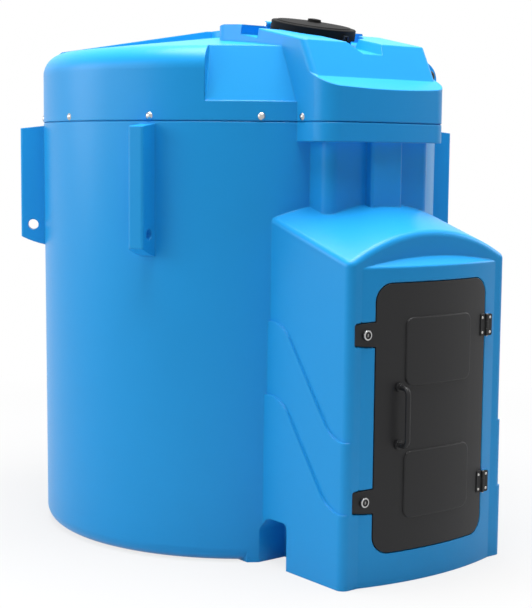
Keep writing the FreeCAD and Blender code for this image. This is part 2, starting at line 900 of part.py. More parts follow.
def build_cover():
    ledge, block = head_form(0)
    hub_z = rib_outer_z + rib_outer_r * math.tan(math.radians(rib_rise_deg)) - 22
    hub = Part.makeCone(hub_radius + 14, hub_radius, hub_z - dome_shoulder_z,
                        Vector(0, 0, dome_shoulder_z))
    rib_azimuths = (-120.75, 120.75, 180)
    outer = dome_form(0, seam_z).cut(relief_form(0))
    outer = outer.multiFuse([ledge, block, hub] + [rib(azimuth, 0) for azimuth in rib_azimuths])
    link = box(-rib_width / 2, rib_width / 2, deck_back_y - 60, 0, dome_shoulder_z, hub_z)
    outer = outer.fuse(link)
    outer = outer.cut(box(-head_half_width - 1, head_half_width + 1, -300, 300, hub_z, 2100)
                      .cut(block))
    outer = outer.cut([on_deck(form) for form in well_form(0)])
    inner_ledge, inner_block = head_form(cover_wall)
    inner = dome_form(cover_wall, seam_z - 1).cut(relief_form(cover_wall))
    inner_low = head_plan(cover_wall, seam_z - 1, seam_z + 5, head_front_y)
    inner = inner.multiFuse([inner_ledge, inner_block, inner_low])
    inner = inner.cut([on_deck(form) for form in well_form(cover_wall)])
    neck = on_deck(ring((0, 0, -well_depth - 1), (0, 0, 1), neck_radius,
                        neck_radius - neck_wall, neck_top + well_depth + 1))
    mouth = on_deck(rod((0, 0, -well_depth - 60), (0, 0, 1), neck_radius - neck_wall, 90))
    cover = outer.cut(inner).cut(mouth).fuse(neck)
    return cover.fuse(union(hinge_posts())).cut(cover_holes()).removeSplitter()


def hinge_posts():
    # Blue knuckles that stand in the well behind the neck
    posts = []
    for x in (-hinge_half_length, hinge_half_length - 38):
        knuckle = rod((x, hinge_back, hinge_rise), (1, 0, 0), hinge_barrel_radius, 38)
        foot = box(x, x + 38, hinge_back - hinge_barrel_radius, hinge_back + hinge_barrel_radius,
                   -well_depth - 1, hinge_rise)
        posts += [on_deck(knuckle), on_deck(foot)]
    return posts


def cover_holes():
    pin = rod((-hinge_half_length - 5, hinge_back, hinge_rise), (1, 0, 0), hinge_pin_radius,
              2 * hinge_half_length + 10)
    vent = rod((head_half_width - 20, vent_y, vent_z), (1, 0, 0), vent_stem_radius, 30)
    staple = [rod((x, staple_back, -well_depth - 30), (0, 0, 1), 3 + bolt_hole_gap, 60)
              for x in (staple_x - staple_screw_x, staple_x + staple_screw_x)]
    return bolt_holes() + [on_deck(pin), vent] + [on_deck(hole) for hole in staple]


vent_y = -754
vent_z = 1728
vent_stem_radius = 8
vent_nut_radius = 12.5
vent_cap_radius = 21
staple_x = 13
staple_back = -171
staple_leg_x = 9
staple_screw_x = 19

save("top_cover", build_cover())


def cover_bolt_parts():
    heads = []
    nuts = []
    inner_face = cover_wall + lap_gap + bund_wall + 0.1
    places = [(0, -tank_radius, azimuth) for azimuth in bolt_azimuths]
    for x, y, azimuth in places:
        heads.append(around(domed_screw((x, y, bolt_z), (0, 1, 0), bolt_head_radius,
                                        bolt_head_height, bolt_radius, bolt_length), azimuth))
        nut = hex_nut((x, y + inner_face, bolt_z), (0, 1, 0))
        nuts.append(around(nut, azimuth))
    for sign in (-1, 1):
        start = (sign * head_half_width, bolt_side_y, bolt_z)
        heads.append(domed_screw(start, (-sign, 0, 0), bolt_head_radius, bolt_head_height,
                                 bolt_radius, bolt_length))
        nuts.append(hex_nut((sign * (head_half_width - inner_face), bolt_side_y, bolt_z),
                            (-sign, 0, 0)))
    return heads, nuts


def hex_nut(start, direction):
    corner = 7.5
    points = [arc_point((0, 0), corner, 60 * turn) for turn in range(6)]
    face = outline(plan, *points)
    nut = face.extrude(Vector(0, 0, 6.5)).cut(Part.makeCylinder(bolt_radius, 10))
    nut.Placement = Placement(Vector(*start), Rotation(Vector(0, 0, 1), Vector(*direction)))
    return nut


bolts, nuts = cover_bolt_parts()
save("cover_bolts", *bolts)
save("cover_nuts", *nuts)


# Side vent in the head box

def build_vent():
    cap = rod((head_half_width + 4, vent_y, vent_z), (1, 0, 0), vent_cap_radius, 14)
    cap = round_edges(cap, 5, lambda edge: edge.BoundBox.XMin > head_half_width + 17)
    flange = rod((head_half_width, vent_y, vent_z), (1, 0, 0), vent_stem_radius + 4, 5)
    stem = rod((head_half_width - cover_wall - 14, vent_y, vent_z), (1, 0, 0),
               vent_stem_radius - gap / 3, cover_wall + 15)
    bore = rod((head_half_width - 40, vent_y, vent_z), (1, 0, 0), 5, 46)
    return union([cap, flange, stem]).cut(bore)


save("side_vent", build_vent())
save("vent_nut", ring((head_half_width - cover_wall - 9, vent_y, vent_z), (1, 0, 0),
                      vent_nut_radius, vent_stem_radius, 9))


# Inner tank

def inner_form(inset):
    edge_centre = (inner_radius - inner_base_edge, bund_wall + inner_base_edge)
    edge = inner_base_edge - inset
    top_centre = (inner_radius - inner_shoulder_radius, inner_shoulder_z)
    top = inner_shoulder_radius - inset
    slope = math.degrees(math.atan2(inner_crown_z - inner_shoulder_z - inner_shoulder_radius,
                                    inner_radius - inner_shoulder_radius))
    end = arc_point(top_centre, top, 90 - slope)
    return turned(
        (0, bund_wall + inset),
        (edge_centre[0], bund_wall + inset),
        (arc_point(edge_centre, edge, -45), (inner_radius - inset, edge_centre[1])),
        (inner_radius - inset, inner_shoulder_z),
        (arc_point(top_centre, top, 45), end),
        (0, inner_crown_z - inset),
    )


suction_boss = (suction_x, -600)
fill_boss = (riser_top_x, -640)
probe_boss = (170, -560)


def build_inner_tank():
    neck = rod((0, lid_y, inner_shoulder_z), (0, 0, 1), inner_neck_radius,
               inner_neck_z - inner_shoulder_z)
    lip = rod((0, lid_y, inner_neck_z - 10), (0, 0, 1), inner_neck_radius + inner_neck_lip, 10)
    bosses = [rod((x, y, inner_shoulder_z), (0, 0, 1), radius, inner_boss_z - inner_shoulder_z)
              for (x, y), radius in ((suction_boss, 34), (fill_boss, 42), (probe_boss, 34))]
    outer = inner_form(0).multiFuse([neck, lip] + bosses)
    mouth = rod((0, lid_y, inner_shoulder_z + 20), (0, 0, 1), inner_neck_radius - inner_wall,
                400)
    holes = [rod((x, y, inner_shoulder_z - 60), (0, 0, 1), radius, 300)
             for (x, y), radius in ((suction_boss, pipe_radius + gap),
                                    (fill_boss, riser_radius + gap), (probe_boss, 8 + gap))]
    return outer.cut([inner_form(inner_wall), mouth] + holes).removeSplitter()


save("inner_tank", build_inner_tank())


# Lid and its hinge

def build_lid():
    rim_in = lid_radius - lid_wall
    ceiling = neck_top + seal_height
    skin = lid_rim_high - 3
    body = turned(
        (0, ceiling),
        (rim_in, ceiling),
        (rim_in, lid_rim_low),
        (lid_radius, lid_rim_low),
        (lid_radius, skin),
        (lid_radius - 3, lid_rim_high),
        (lid_radius - 18, lid_rim_high),
        (lid_radius - 21, lid_rim_high + 4),
        crown_step(lid_radius - 21, lid_rim_high + 4, lid_crown),
    )
    knob = turned((0, lid_crown - 2), (26, lid_crown - 2), (24, lid_crown + 10),
                  crown_step(24, lid_crown + 10, lid_crown + 12.5))
    barrel_half = hinge_half_length - 38 - 1.5
    barrel = rod((-barrel_half, hinge_back, hinge_rise), (1, 0, 0), hinge_barrel_radius,
                 2 * barrel_half)
    arm = box(-barrel_half, barrel_half, rim_in + 1, hinge_back, hinge_rise - 6, hinge_rise + 8)
    arm = arm.cut(rod((0, 0, -60), (0, 0, 1), lid_radius - 2, 120))
    tongue = rounded_box(staple_x - 17, staple_x + 17, staple_back - 12, -lid_radius + 8,
                         lid_rim_low, lid_rim_low + 5, 4)
    slot = box(staple_x - 13, staple_x + 13, staple_back - 8, staple_back + 8,
               lid_rim_low - 5, lid_rim_low + 20)
    tongue = tongue.cut(slot).cut(rod((0, 0, -60), (0, 0, 1), lid_radius - 2, 120))
    lid = union([body, knob, barrel, arm, tongue])
    bore = rod((-barrel_half - 1, hinge_back, hinge_rise), (1, 0, 0),
               hinge_pin_radius + running_gap, 2 * barrel_half + 2)
    return on_deck(lid.cut(bore))


save("fill_lid", build_lid())
save("lid_seal", on_deck(ring((0, 0, neck_top), (0, 0, 1), neck_radius,
                              neck_radius - neck_wall - 2, seal_height)))


def build_lid_pin():
    length = 2 * hinge_half_length + 4
    pin = rod((-length / 2, hinge_back, hinge_rise), (1, 0, 0), hinge_pin_radius, length)
    heads = [rod((x, hinge_back, hinge_rise), (1, 0, 0), hinge_pin_radius + 3, 3)
             for x in (-hinge_half_length - 3, hinge_half_length)]
    return on_deck(union([pin] + heads))


save("lid_hinge_pin", build_lid_pin())


def build_staple():
    # Bent steel eye that stands through the lid's tongue for a padlock
    base = rounded_box(staple_x - 27, staple_x + 27, staple_back - 10, staple_back + 10,
                       -well_depth, -well_depth + 3, 4)
    legs = [box(x - 1.5, x + 1.5, staple_back - 4, staple_back + 4, -well_depth,
                lid_rim_low + 21) for x in (staple_x - staple_leg_x, staple_x + staple_leg_x)]
    top = box(staple_x - staple_leg_x - 1.5, staple_x + staple_leg_x + 1.5, staple_back - 4,
              staple_back + 4, lid_rim_low + 18, lid_rim_low + 21)
    screws = [rod((x, staple_back, -well_depth - cover_wall - 6), (0, 0, 1), 3,
                  cover_wall + 12) for x in (staple_x - staple_screw_x,
                                             staple_x + staple_screw_x)]
    return on_deck(union([base] + legs + [top] + screws))


save("lid_staple", build_staple())


# Door

def is_pad_face_edge(edge):
    # Edges that lie wholly on the front of an embossed pad
    ends = [edge.valueAt(edge.FirstParameter), edge.valueAt(edge.LastParameter)]
    return all(abs(math.hypot(end.x, end.y - panel_centre_y) - panel_radius - emboss_height) < 0.1
               for end in ends)


def build_door():
    sheet = door_outline(0).common(bow_sheet(0, door_thickness, 0, 1400))
    raised = []
    for low, high in emboss_zs:
        block = rounded_box_y(emboss_left_x, emboss_right_x, low, high, emboss_corner)
        pad = block.common(bow_sheet(-emboss_height, door_thickness, 0, 1400))
        raised.append(round_edges(pad, emboss_edge, is_pad_face_edge))
    bosses = [rod((lock_x, lock_face_y + 1.5, z), (0, 1, 0), lock_bezel_radius + 1, 16)
              for z in lock_zs]
    front_of = Part.makeCylinder(panel_radius - door_thickness, 1500,
                                 Vector(0, panel_centre_y, 0))
    bosses = [boss.cut(front_of) for boss in bosses]
    bosses += [rod((lock_x, lock_face_y + 10, z), (0, 1, 0), lock_bezel_radius + 1,
                   lock_seat_depth - 10) for z in lock_zs]
    door = union([sheet] + raised + bosses + door_pads())
    holes = [rod((lock_x, -1200, z), (0, 1, 0), lock_radius + running_gap, 300)
             for z in lock_zs]
    holes += [rod((x, leaf_y - 5, z), (0, 1, 0), 2.2, 40) for sign, x, z in leaf_screw_spots()
              if sign < 0]
    holes += [rod((handle_x, -1200, z), (0, 1, 0), 3.2, 300) for z in handle_zs]
    return door.cut(holes)


lock_face_y = bow_y(lock_x) - 6

save("cabinet_door", build_door())


def build_handle():
    # Round bar bent to a bridge, with a flat foot at each end
    seat_y = bow_y(handle_x)
    grip_y = seat_y - handle_reach + handle_radius
    low, high = handle_zs
    points = [(handle_x, seat_y - 3, low), (handle_x, grip_y, low),
              (handle_x, grip_y, high), (handle_x, seat_y - 3, high)]
    bar = pipe(points, (22, 22), handle_radius)
    feet = [rod((handle_x, seat_y - 8, z), (0, 1, 0), 16, 12) for z in handle_zs]
    skin = Part.makeCylinder(panel_radius, 1500, Vector(0, panel_centre_y, 0))
    handle = union([bar] + feet).cut(skin)
    return handle.cut([rod((handle_x, seat_y - 12, z), (0, 1, 0), 3, 20) for z in handle_zs])


save("door_handle", build_handle())
save("handle_screws", *[
    domed_screw((handle_x, bow_y(handle_x, door_thickness) + 1.5, z), (0, -1, 0), 7, 3, 3, 18)
    for z in handle_zs
])


lock_back_y = front_frame_y - 6


def build_lock_body(z):
    # Sleeve through the door's tab with a raised bezel, held by a nut from behind
    sleeve = rod((lock_x, lock_face_y, z), (0, 1, 0), lock_radius,
                 lock_back_y - gap - lock_face_y)
    bezel = rod((lock_x, lock_face_y - 3, z), (0, 1, 0), lock_bezel_radius, 4.5)
    bezel = round_edges(bezel, 1.5, lambda edge: edge.BoundBox.YMax < lock_face_y - 2)
    dish = rod((lock_x, lock_face_y - 4, z), (0, 1, 0), lock_bezel_radius - 5, 3)
    bore = rod((lock_x, lock_face_y - 5, z), (0, 1, 0), lock_plug_radius + running_gap, 60)
    return union([sleeve, bezel]).cut([dish, bore])


def build_lock(z):
    # Plug that the key turns, with the cam on its back end
    plug = rod((lock_x, lock_face_y - 2, z), (0, 1, 0), lock_plug_radius,
               lock_back_y - lock_face_y + 2)
    cam = box(lock_x - 6, lock_x + 6, lock_back_y, lock_back_y + 3, z - 8, z + 28)
    keyway = box(lock_x - 1.2, lock_x + 1.2, lock_face_y - 3, lock_face_y + 12, z - 5, z + 5)
    return union([plug, cam]).cut(keyway)


def build_lock_nut(z):
    points = [arc_point((lock_x, z), lock_nut_corner, 60 * turn) for turn in range(6)]
    face = outline(front, *points)
    face.translate(Vector(0, lock_face_y + lock_seat_depth + gap / 3, 0))
    nut = face.extrude(Vector(0, 4, 0))
    return nut.cut(rod((lock_x, lock_face_y, z), (0, 1, 0), lock_radius + gap / 3, 60))


for name, z in zip(("lower_lock", "upper_lock"), lock_zs):
    save(name, build_lock(z))
save("lock_bodies", *[build_lock_body(z) for z in lock_zs])
save("lock_nuts", *[build_lock_nut(z) for z in lock_zs])

save("hinge_frame_leaves", *[hinge_leaf(z, 1) for z in lock_zs])
save("hinge_door_leaves", *[hinge_leaf(z, -1) for z in lock_zs])


def hinge_pin(z):
    half = door_hinge_height / 2
    pin = rod((door_hinge_x, pin_y, z - half), (0, 0, 1), door_hinge_pin_radius,
              door_hinge_height)
    caps = [rod((door_hinge_x, pin_y, z + low), (0, 0, 1), 4, 2) for low in (-half - 1.75,
                                                                             half - 0.25)]
    return union([pin] + caps)


save("hinge_pins", *[hinge_pin(z) for z in lock_zs])


def leaf_screws(sign, length):
    return [domed_screw((x, leaf_y - leaf_thickness, z), (0, 1, 0), 5, 2.6, 2, length)
            for s, x, z in leaf_screw_spots() if s == sign]


save("hinge_frame_screws", *leaf_screws(1, 13))
save("hinge_door_screws", *leaf_screws(-1, 9))


# Equipment plate in the bay

plate_face_y = plate_back_y - plate_thickness


def build_plate():
    plate = box(-plate_half_width, plate_half_width, plate_face_y, plate_back_y,
                plate_low_z, plate_high_z)
    plate = round_edges(plate, 18, lambda edge: edge.BoundBox.YLength > plate_thickness - 0.1
                        and edge.BoundBox.ZLength < 0.1 and edge.BoundBox.XLength < 0.1)
    return plate.cut(plate_screw_holes())


save("equipment_plate", build_plate())
save("plate_screws", *[
    domed_screw((x, plate_face_y, z), (0, 1, 0), 8, 4, 3, 24)
    for x in (-plate_screw_x, plate_screw_x) for z in plate_screw_zs
])


# Pump on its bracket

pump_y = -895
pump_z = 690
motor_radius = 62
motor_left_x = -50
motor_right_x = 140
shelf_top_z = pump_z - motor_radius - 6


def build_bracket():
    shelf = box(motor_left_x + 10, motor_right_x - 10, pump_y - 60, plate_face_y,
                shelf_top_z - 4, shelf_top_z)
    back = box(motor_left_x + 10, motor_right_x - 10, plate_face_y - 4, plate_face_y,
               shelf_top_z - 60, shelf_top_z)
    gussets = []
    for x in (motor_left_x + 10, motor_right_x - 14):
        face = outline(side, (plate_face_y - 4, shelf_top_z - 4), (pump_y - 50, shelf_top_z - 4),
                       (plate_face_y - 4, shelf_top_z - 58))
        face.translate(Vector(x, 0, 0))
        gussets.append(face.extrude(Vector(4, 0, 0)))
    return union([shelf, back] + gussets)


save("pump_bracket", build_bracket())


def build_motor():
    body = rod((motor_left_x, pump_y, pump_z), (1, 0, 0), motor_radius - 6, 145)
    fins = []
    for count in range(20):
        fin = box(motor_left_x + 12, motor_left_x + 133, -1.5, 1.5, motor_radius - 10,
                  motor_radius)
        fin.rotate(Vector(0, 0, 0), Vector(1, 0, 0), 18 * count)
        fin.translate(Vector(0, pump_y, pump_z))
        fins.append(fin)
    cowl = rod((motor_left_x + 145, pump_y, pump_z), (1, 0, 0), motor_radius,
               motor_right_x - motor_left_x - 145)
    cowl = round_edges(cowl, 8, lambda edge: edge.BoundBox.XMin > motor_right_x - 1)
    feet = [box(x, x + 22, pump_y - 45, pump_y + 45, shelf_top_z, pump_z - 40)
            for x in (motor_left_x + 18, motor_left_x + 105)]
    terminal = rounded_box(motor_left_x + 35, motor_left_x + 110, pump_y - 30, pump_y + 30,
                           pump_z + motor_radius - 14, pump_z + motor_radius + 26, 6)
    return union([body, cowl, terminal] + fins + feet)


save("pump_motor", build_motor())

head_right_x = motor_left_x
head_left_x = -185
inlet_top_z = pump_z + 80
outlet_low_z = pump_z - 85


def build_pump_head():
    body = rounded_box_x(head_left_x, head_right_x - 12, pump_y - 55, pump_y + 55, pump_z - 55,
                         pump_z + 55, 14)
    flange = rod((head_right_x - 12, pump_y, pump_z), (1, 0, 0), 58, 12)
    cover = rod((head_left_x - 10, pump_y, pump_z), (1, 0, 0), 42, 12)
    inlet = rod((suction_x, pump_y, pump_z), (0, 0, 1), 20, inlet_top_z - pump_z)
    outlet = rod((suction_x, pump_y, outlet_low_z), (0, 0, 1), 20, pump_z - outlet_low_z)
    ports = rod((suction_x, pump_y, inlet_top_z - 18), (0, 0, 1), pipe_radius + gap, 30)
    ports = ports.fuse(rod((suction_x, pump_y, outlet_low_z - 5), (0, 0, 1), pipe_radius + gap,
                           23))
    return union([body, flange, cover, inlet, outlet]).cut(ports)


def rounded_box_x(x0, x1, y0, y1, z0, z1, radius):
    block = box(x0, x1, y0, y1, z0, z1)
    return round_edges(block, radius, lambda edge: edge.BoundBox.XLength > 1)


save("pump_head", build_pump_head())

# Suction line: dip tube in the tank, over the rim and down the column to the pump

valve_low_z = 850
valve_high_z = 920
line_y = -800
line_rise_z = 1575
line_over_y = -690
line_over_z = inner_boss_z + 48


def build_suction():
    x, y = suction_boss
    points = [(x, y, 70), (x, y, line_over_z), (x, line_over_y, line_over_z),
              (x, line_y, line_rise_z), (x, line_y, 1010), (x, pump_y, 950),
              (x, pump_y, valve_high_z - 12)]
    return tube(points, (24, 40, 60, 60, 25), pipe_radius, pipe_bore)


save("suction_pipe", build_suction())
save("suction_collar", ring((suction_boss[0], suction_boss[1], inner_boss_z), (0, 0, 1), 30,
                            pipe_radius + gap, 18))
save("pump_inlet_pipe", ring((suction_x, pump_y, inlet_top_z - 18), (0, 0, 1), pipe_radius,
                             pipe_bore, valve_low_z + 12 - inlet_top_z + 18))


def build_valve():
    middle_z = (valve_low_z + valve_high_z) / 2
    body = turned_at((suction_x, pump_y), (
        (0, valve_low_z), (20, valve_low_z), (20, valve_low_z + 14), (26, valve_low_z + 22),
        (26, valve_high_z - 22), (20, valve_high_z - 14), (20, valve_high_z), (0, valve_high_z),
    ))
    neck = rod((suction_x, pump_y - 38, middle_z), (0, 1, 0), 11, 38)
    bore = rod((suction_x, pump_y, valve_low_z - 1), (0, 0, 1), pipe_bore, 100)
    seats = [rod((suction_x, pump_y, z), (0, 0, 1), pipe_radius + gap, 13)
             for z in (valve_low_z - 1, valve_high_z - 12)]
    stem = rod((suction_x, pump_y - 40, middle_z), (0, 1, 0), 5 + running_gap, 20)
    return union([body, neck]).cut([bore, stem] + seats)


def turned_at(place, profile):
    shape = turned(*profile)
    shape.translate(Vector(place[0], place[1], 0))
    return shape


save("suction_valve", build_valve())


def build_lever():
    middle_z = (valve_low_z + valve_high_z) / 2
    stem = rod((suction_x, pump_y - 44, middle_z), (0, 1, 0), 5, 22)
    hub = rod((suction_x, pump_y - 46, middle_z), (0, 1, 0), 13, 7)
    arm = rounded_box_y_plain(suction_x - 9, suction_x + 9, pump_y - 45, pump_y - 41,
                              middle_z, middle_z + 92, 8)
    return union([stem, hub, arm])


def rounded_box_y_plain(x0, x1, y0, y1, z0, z1, radius):
    block = box(x0, x1, y0, y1, z0, z1)
    return round_edges(block, radius, lambda edge: edge.BoundBox.YLength > y1 - y0 - 0.01
                       and edge.BoundBox.XLength < 0.1 and edge.BoundBox.ZLength < 0.1)


save("valve_lever", build_lever())

# Delivery line: pump outlet, flow meter and the tail for a hose

meter_z = 520
meter_left_x = -30
meter_right_x = 66
tail_x = 150


def build_delivery():
    points = [(suction_x, pump_y, outlet_low_z + 16), (suction_x, pump_y, meter_z),
              (meter_left_x + 12, pump_y, meter_z)]
    return tube(points, (35,), pipe_radius, pipe_bore)


save("delivery_pipe", build_delivery())


def build_meter():
    middle = (meter_left_x + meter_right_x) / 2
    body = rod((middle, pump_y - 38, meter_z), (0, 1, 0), 46, 66)
    body = round_edges(body, 8, lambda edge: edge.BoundBox.YMax < pump_y - 37)
    ends = rod((meter_left_x, pump_y, meter_z), (1, 0, 0), 20, meter_right_x - meter_left_x)
    bezel = ring((middle, pump_y - 46, meter_z), (0, 1, 0), 42, 34, 10)
    ports = [rod((x, pump_y, meter_z), (1, 0, 0), pipe_radius + gap, 14)
             for x in (meter_left_x - 1, meter_right_x - 13)]
    button = rod((middle, pump_y - 50, meter_z - 20), (0, 1, 0), 6 + gap, 26)
    return union([body, ends, bezel]).cut(ports + [button])


save("flow_meter", build_meter())
meter_middle = (meter_left_x + meter_right_x) / 2
save("meter_window", box(meter_middle - 22, meter_middle + 22, pump_y - 40, pump_y - 38,
                         meter_z - 4, meter_z + 20))


def build_reset_button():
    stem = rod((meter_middle, pump_y - 37, meter_z - 20), (0, 1, 0), 6, 7)
    cap = rod((meter_middle, pump_y - 43, meter_z - 20), (0, 1, 0), 6, 6)
    return union([stem, cap])


save("reset_button", build_reset_button())


def build_hose_tail():
    points = [(meter_right_x - 12, pump_y, meter_z), (tail_x, pump_y, meter_z),
              (tail_x, pump_y, meter_z - 60)]
    bend = pipe(points, (30,), pipe_radius)
    barb = turned_at((tail_x, pump_y), (
        (0, meter_z - 60), (17, meter_z - 60), (17, meter_z - 72), (pipe_radius, meter_z - 72),
        (pipe_radius + 2, meter_z - 74), (pipe_radius - 1, meter_z - 86),
        (pipe_radius + 2, meter_z - 86), (pipe_radius - 1, meter_z - 98),
        (pipe_radius + 2, meter_z - 98), (pipe_radius - 1, meter_z - 112), (0, meter_z - 112),
    ))
    bore_path = [points[0], points[1], (tail_x, pump_y, meter_z - 113)]
    return union([bend, barb]).cut(pipe(bore_path, (30,), pipe_bore - 1))


save("hose_tail", build_hose_tail())

# Fill line: coupling low in the bay and the riser up the middle column

fill_z = 330
fill_y = -905
riser_y = plate_face_y - riser_radius - 8
riser_top_y = -822


def build_riser():
    x, y = fill_boss
    points = [(riser_x, fill_y, fill_z), (riser_x, riser_y, fill_z), (riser_x, riser_y, 1010),
              (riser_top_x, riser_top_y, 1150), (riser_top_x, riser_top_y, line_rise_z),
              (x, line_over_y - 18, line_over_z + 14), (x, y, line_over_z + 14),
              (x, y, inner_boss_z - 60)]
    return tube(points, (30, 70, 70, 60, 30, 34), riser_radius, riser_bore)


save("fill_riser", build_riser())
save("fill_collar", ring((fill_boss[0], fill_boss[1], inner_boss_z), (0, 0, 1), 40,
                         riser_radius + gap, 18))


def build_riser_clip(z):
    band = ring((riser_x, riser_y, z), (0, 0, 1), riser_radius + 3.5, riser_radius + gap, 20)
    foot = box(riser_x - 34, riser_x + 34, plate_face_y - 4, plate_face_y, z, z + 20)
    post = box(riser_x - 6, riser_x + 6, riser_y + riser_radius + 1, plate_face_y - 3, z, z + 20)
    return union([band, foot, post])


save("riser_clips", *[build_riser_clip(z) for z in (480, 760)])


def build_coupling():
    body = ring((riser_x, fill_y - 54, fill_z), (0, 1, 0), 38, riser_bore, 54)
    socket = ring((riser_x, fill_y, fill_z), (0, 1, 0), 33, riser_radius + gap, 26)
    groove = ring((riser_x, fill_y - 30, fill_z), (0, 1, 0), 39, 34, 10)
    return union([body, socket]).cut(groove)


save("fill_coupling", build_coupling())


def build_fill_cap():
    face_y = fill_y - 54 - gap
    disc = rod((riser_x, face_y - 14, fill_z), (0, 1, 0), 42, 14)
    disc = round_edges(disc, 4, lambda edge: edge.BoundBox.YMax < face_y - 13)
    grip = rounded_box_y_plain(riser_x - 34, riser_x + 34, face_y - 32, face_y - 12,
                               fill_z - 8, fill_z + 8, 6)
    plug = rod((riser_x, face_y - 1, fill_z), (0, 1, 0), riser_bore - gap, 22)
    return union([disc, grip, plug])


save("fill_cap", build_fill_cap())

# Control box, its switch and lamp, and the level display

control_x = (-245, -155)
control_z = (745, 885)
control_depth = 72


def build_control_box():
    face = plate_face_y - control_depth
    case = rounded_box_y_plain(control_x[0], control_x[1], face, plate_face_y, control_z[0],
                               control_z[1], 10)
    middle = sum(control_x) / 2
    window = box(middle - 13, middle + 13, face - 1, face + 16, control_z[1] - 62,
                 control_z[1] - 22)
    lamp = rod((middle, face - 1, control_z[0] + 40), (0, 1, 0), 8 + gap, 12)
    gland = rod((middle, plate_face_y - 36, control_z[0] - 16), (0, 0, 1), 11, 17)
    return union([case, gland]).cut([window, lamp])


save("control_box", build_control_box())
switch_middle_x = sum(control_x) / 2
switch_face_y = plate_face_y - control_depth
switch_z = control_z[1] - 42


def build_switch():
    # Rocker with two sloped halves, pivoted in the middle of its window
    face = outline(
        side,
        (switch_face_y + 4, switch_z - 17),
        (switch_face_y - 1, switch_z - 18),
        (switch_face_y - 4, switch_z),
        (switch_face_y - 1, switch_z + 18),
        (switch_face_y + 4, switch_z + 17),
        (switch_face_y + 5, switch_z + 8),
        ((switch_face_y + 13, switch_z), (switch_face_y + 5, switch_z - 8)),
    )
    face.translate(Vector(switch_middle_x - 12.5, 0, 0))
    return face.extrude(Vector(25, 0, 0))


save("pump_switch", build_switch())
save("power_lamp", union([
    rod((switch_middle_x, switch_face_y - 1, control_z[0] + 40), (0, 1, 0), 8, 12),
    rod((switch_middle_x, switch_face_y - 4, control_z[0] + 40), (0, 1, 0), 10, 3.9),
]))


def build_display():
    middle = (90, 830)
    case = rod((middle[0], plate_face_y - 40, middle[1]), (0, 1, 0), 50, 40)
    case = round_edges(case, 8, lambda edge: edge.BoundBox.YMax < plate_face_y - 39)
    return case.cut(rod((middle[0], plate_face_y - 41, middle[1]), (0, 1, 0), 38, 7))


save("level_display", build_display())
save("display_glass", rod((90, plate_face_y - 38, 830), (0, 1, 0), 38, 4))


def build_probe():
    x, y = probe_boss
    head = rod((x, y, inner_boss_z), (0, 0, 1), 26, 34)
    head = round_edges(head, 5, lambda edge: edge.BoundBox.ZMin > inner_boss_z + 33)
    rod_part = rod((x, y, 60), (0, 0, 1), 8, inner_boss_z - 55)
    return union([head, rod_part])


save("level_probe", build_probe())


# Nozzle holster and drip tray

def build_holster():
    x, z = -205, 430
    cup = ring((x, plate_face_y - 46, z), (0, 0, 1), 34, 29, 110)
    base = rod((x, plate_face_y - 46, z - 4), (0, 0, 1), 34, 5)
    back = box(x - 30, x + 30, plate_face_y - 6, plate_face_y, z - 4, z + 140)
    web = box(x - 8, x + 8, plate_face_y - 14, plate_face_y - 5, z - 4, z + 110)
    mouth = rod((x, plate_face_y - 46, z + 1), (0, 0, 1), 29, 140)
    return union([cup, base, back, web]).cut(mouth)


save("nozzle_holster", build_holster())


def build_tray():
    outer = rounded_box(-255, 255, -1030, -800, bay_floor_z, bay_floor_z + 45, 24)
    inner = rounded_box(-251, 251, -1026, -804, bay_floor_z + 4, bay_floor_z + 60, 20)
    return outer.cut(inner)


save("drip_tray", build_tray())
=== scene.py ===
import bmesh
import bpy
from mathutils import Matrix, Vector


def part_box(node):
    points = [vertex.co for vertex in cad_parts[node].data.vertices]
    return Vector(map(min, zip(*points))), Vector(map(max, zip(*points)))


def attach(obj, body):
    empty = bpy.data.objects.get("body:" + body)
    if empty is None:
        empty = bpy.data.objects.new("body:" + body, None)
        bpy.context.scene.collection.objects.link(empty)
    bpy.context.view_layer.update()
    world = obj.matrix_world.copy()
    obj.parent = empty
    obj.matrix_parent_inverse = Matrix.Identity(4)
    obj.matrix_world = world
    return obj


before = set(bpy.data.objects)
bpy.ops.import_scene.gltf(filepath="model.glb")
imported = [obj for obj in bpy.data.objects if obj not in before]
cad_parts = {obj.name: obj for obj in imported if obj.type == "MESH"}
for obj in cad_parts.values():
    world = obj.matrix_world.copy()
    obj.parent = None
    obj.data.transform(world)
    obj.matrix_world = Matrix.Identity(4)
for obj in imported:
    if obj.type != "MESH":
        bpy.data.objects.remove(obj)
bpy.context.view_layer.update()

# Camera
# Stands at chest height off the left front corner and looks slightly down, with a long lens
# that keeps the barrel's sides nearly parallel.
camera_place = Vector((-3.340, -4.449, 1.440))
camera_forward = Vector((0.6125, 0.7832, -0.1072)).normalized()
camera_right = Vector((0.7883, -0.6152, 0.0096)).normalized()
camera_up = camera_right.cross(camera_forward).normalized()
camera_right = camera_forward.cross(camera_up)
camera_turn = Matrix((camera_right, camera_up, -camera_forward)).transposed()
camera_data = bpy.data.cameras.new("camera")
camera_data.lens = 82.24
camera_data.sensor_width = 36
camera_data.clip_end = 60
camera = bpy.data.objects.new("camera", camera_data)
camera.matrix_world = Matrix.Translation(camera_place) @ camera_turn.to_4x4()
bpy.context.scene.collection.objects.link(camera)
bpy.context.scene.camera = camera

